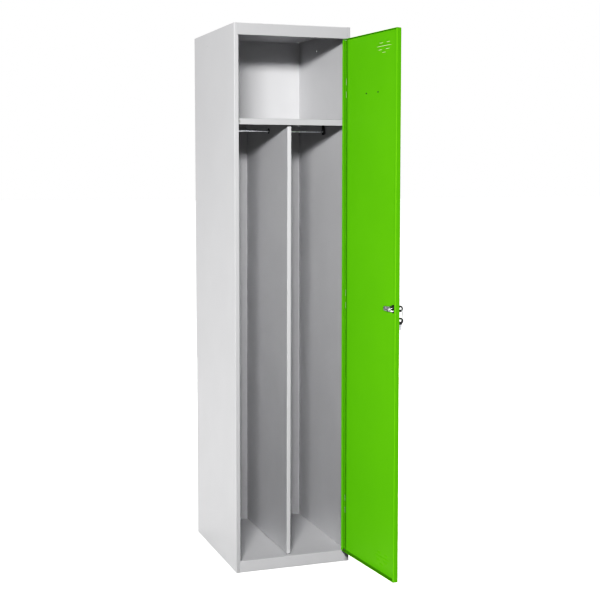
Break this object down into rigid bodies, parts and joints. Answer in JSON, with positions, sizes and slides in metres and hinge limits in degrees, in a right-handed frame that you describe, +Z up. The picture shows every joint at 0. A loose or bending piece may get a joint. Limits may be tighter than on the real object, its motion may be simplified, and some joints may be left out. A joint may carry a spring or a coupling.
{
  "type": "school locker",
  "caption": "Tall sheet-metal clothes locker with a pan door hinged on the right, a hat shelf, an upright partition, a hanging rail and a keyed cam lock.",
  "frame": {"origin": "on the floor, in the middle of the sill's bottom flange, 10 mm behind the locker's front plane", "axes": "+X towards the locker's right side as seen from the front, +Y towards its back, +Z up"},
  "size_m": [0.4444, 0.8699, 1.8],
  "materials": {
    "carcass_paint": "light grey powder coat, satin",
    "door_paint": "lime green powder coat, satin",
    "zinc_steel": "zinc-plated steel",
    "lock_chrome": "polished chrome plate",
    "dark_plastic": "black moulded plastic",
    "buffer_rubber": "grey rubber",
    "label_paper": "blank name card",
    "window_plastic": "clear plastic sheet"
  },
  "bodies": {
    "carcass": {"left_side_panel": "carcass_paint", "right_side_panel": "carcass_paint", "back_panel": "carcass_paint", "top_panel": "carcass_paint", "floor_panel": "carcass_paint", "hat_shelf": "carcass_paint", "partition": "carcass_paint", "partition_grommet": "dark_plastic", "hanging_rail": "zinc_steel", "rail_bracket_left": "dark_plastic", "rail_bracket_right": "dark_plastic", "rail_rivet_left": "zinc_steel", "rail_rivet_right": "zinc_steel", "door_buffer": "buffer_rubber", "upper_frame_leaf": "carcass_paint", "upper_hinge_pin": "zinc_steel", "middle_frame_leaf": "carcass_paint", "middle_hinge_pin": "zinc_steel", "lower_frame_leaf": "carcass_paint", "lower_hinge_pin": "zinc_steel"},
    "door": {"door_panel": "door_paint", "upper_door_leaf": "door_paint", "middle_door_leaf": "door_paint", "lower_door_leaf": "door_paint", "label_frame": "dark_plastic", "label_card": "label_paper", "label_window": "window_plastic", "lock_gasket": "dark_plastic", "lock_barrel": "lock_chrome", "lock_nut": "dark_plastic"},
    "lock_core": {"lock_plug": "lock_chrome", "lock_cam": "zinc_steel", "cam_screw": "zinc_steel", "key_blade": "zinc_steel", "key_head": "dark_plastic"},
    "ring": {"key_ring": "zinc_steel"},
    "spare_key": {"spare_key_blade": "zinc_steel", "spare_key_head": "dark_plastic"}
  },
  "joints": [
    {"name": "door_hinge", "type": "hinge", "parent": "carcass", "child": "door", "pos_m": [0.1865, -0.0105, 0.9], "axis": [0, 0, 1], "range_deg": [-95, 80]},
    {"name": "lock_turn", "type": "hinge", "parent": "door", "child": "lock_core", "pos_m": [0.21568, -0.34975, 0.9], "axis": [0.9962, 0.0872, 0], "range_deg": [0, 180]},
    {"name": "ring_swing", "type": "hinge", "parent": "lock_core", "child": "ring", "pos_m": [0.23431, -0.34812, 0.8967], "axis": [0.0872, -0.9962, 0], "range_deg": [-6, 110]},
    {"name": "spare_key_swing", "type": "hinge", "parent": "ring", "child": "spare_key", "pos_m": [0.23431, -0.34812, 0.8667], "axis": [0.0872, -0.9962, 0], "range_deg": [-8, 60]}
  ]
}
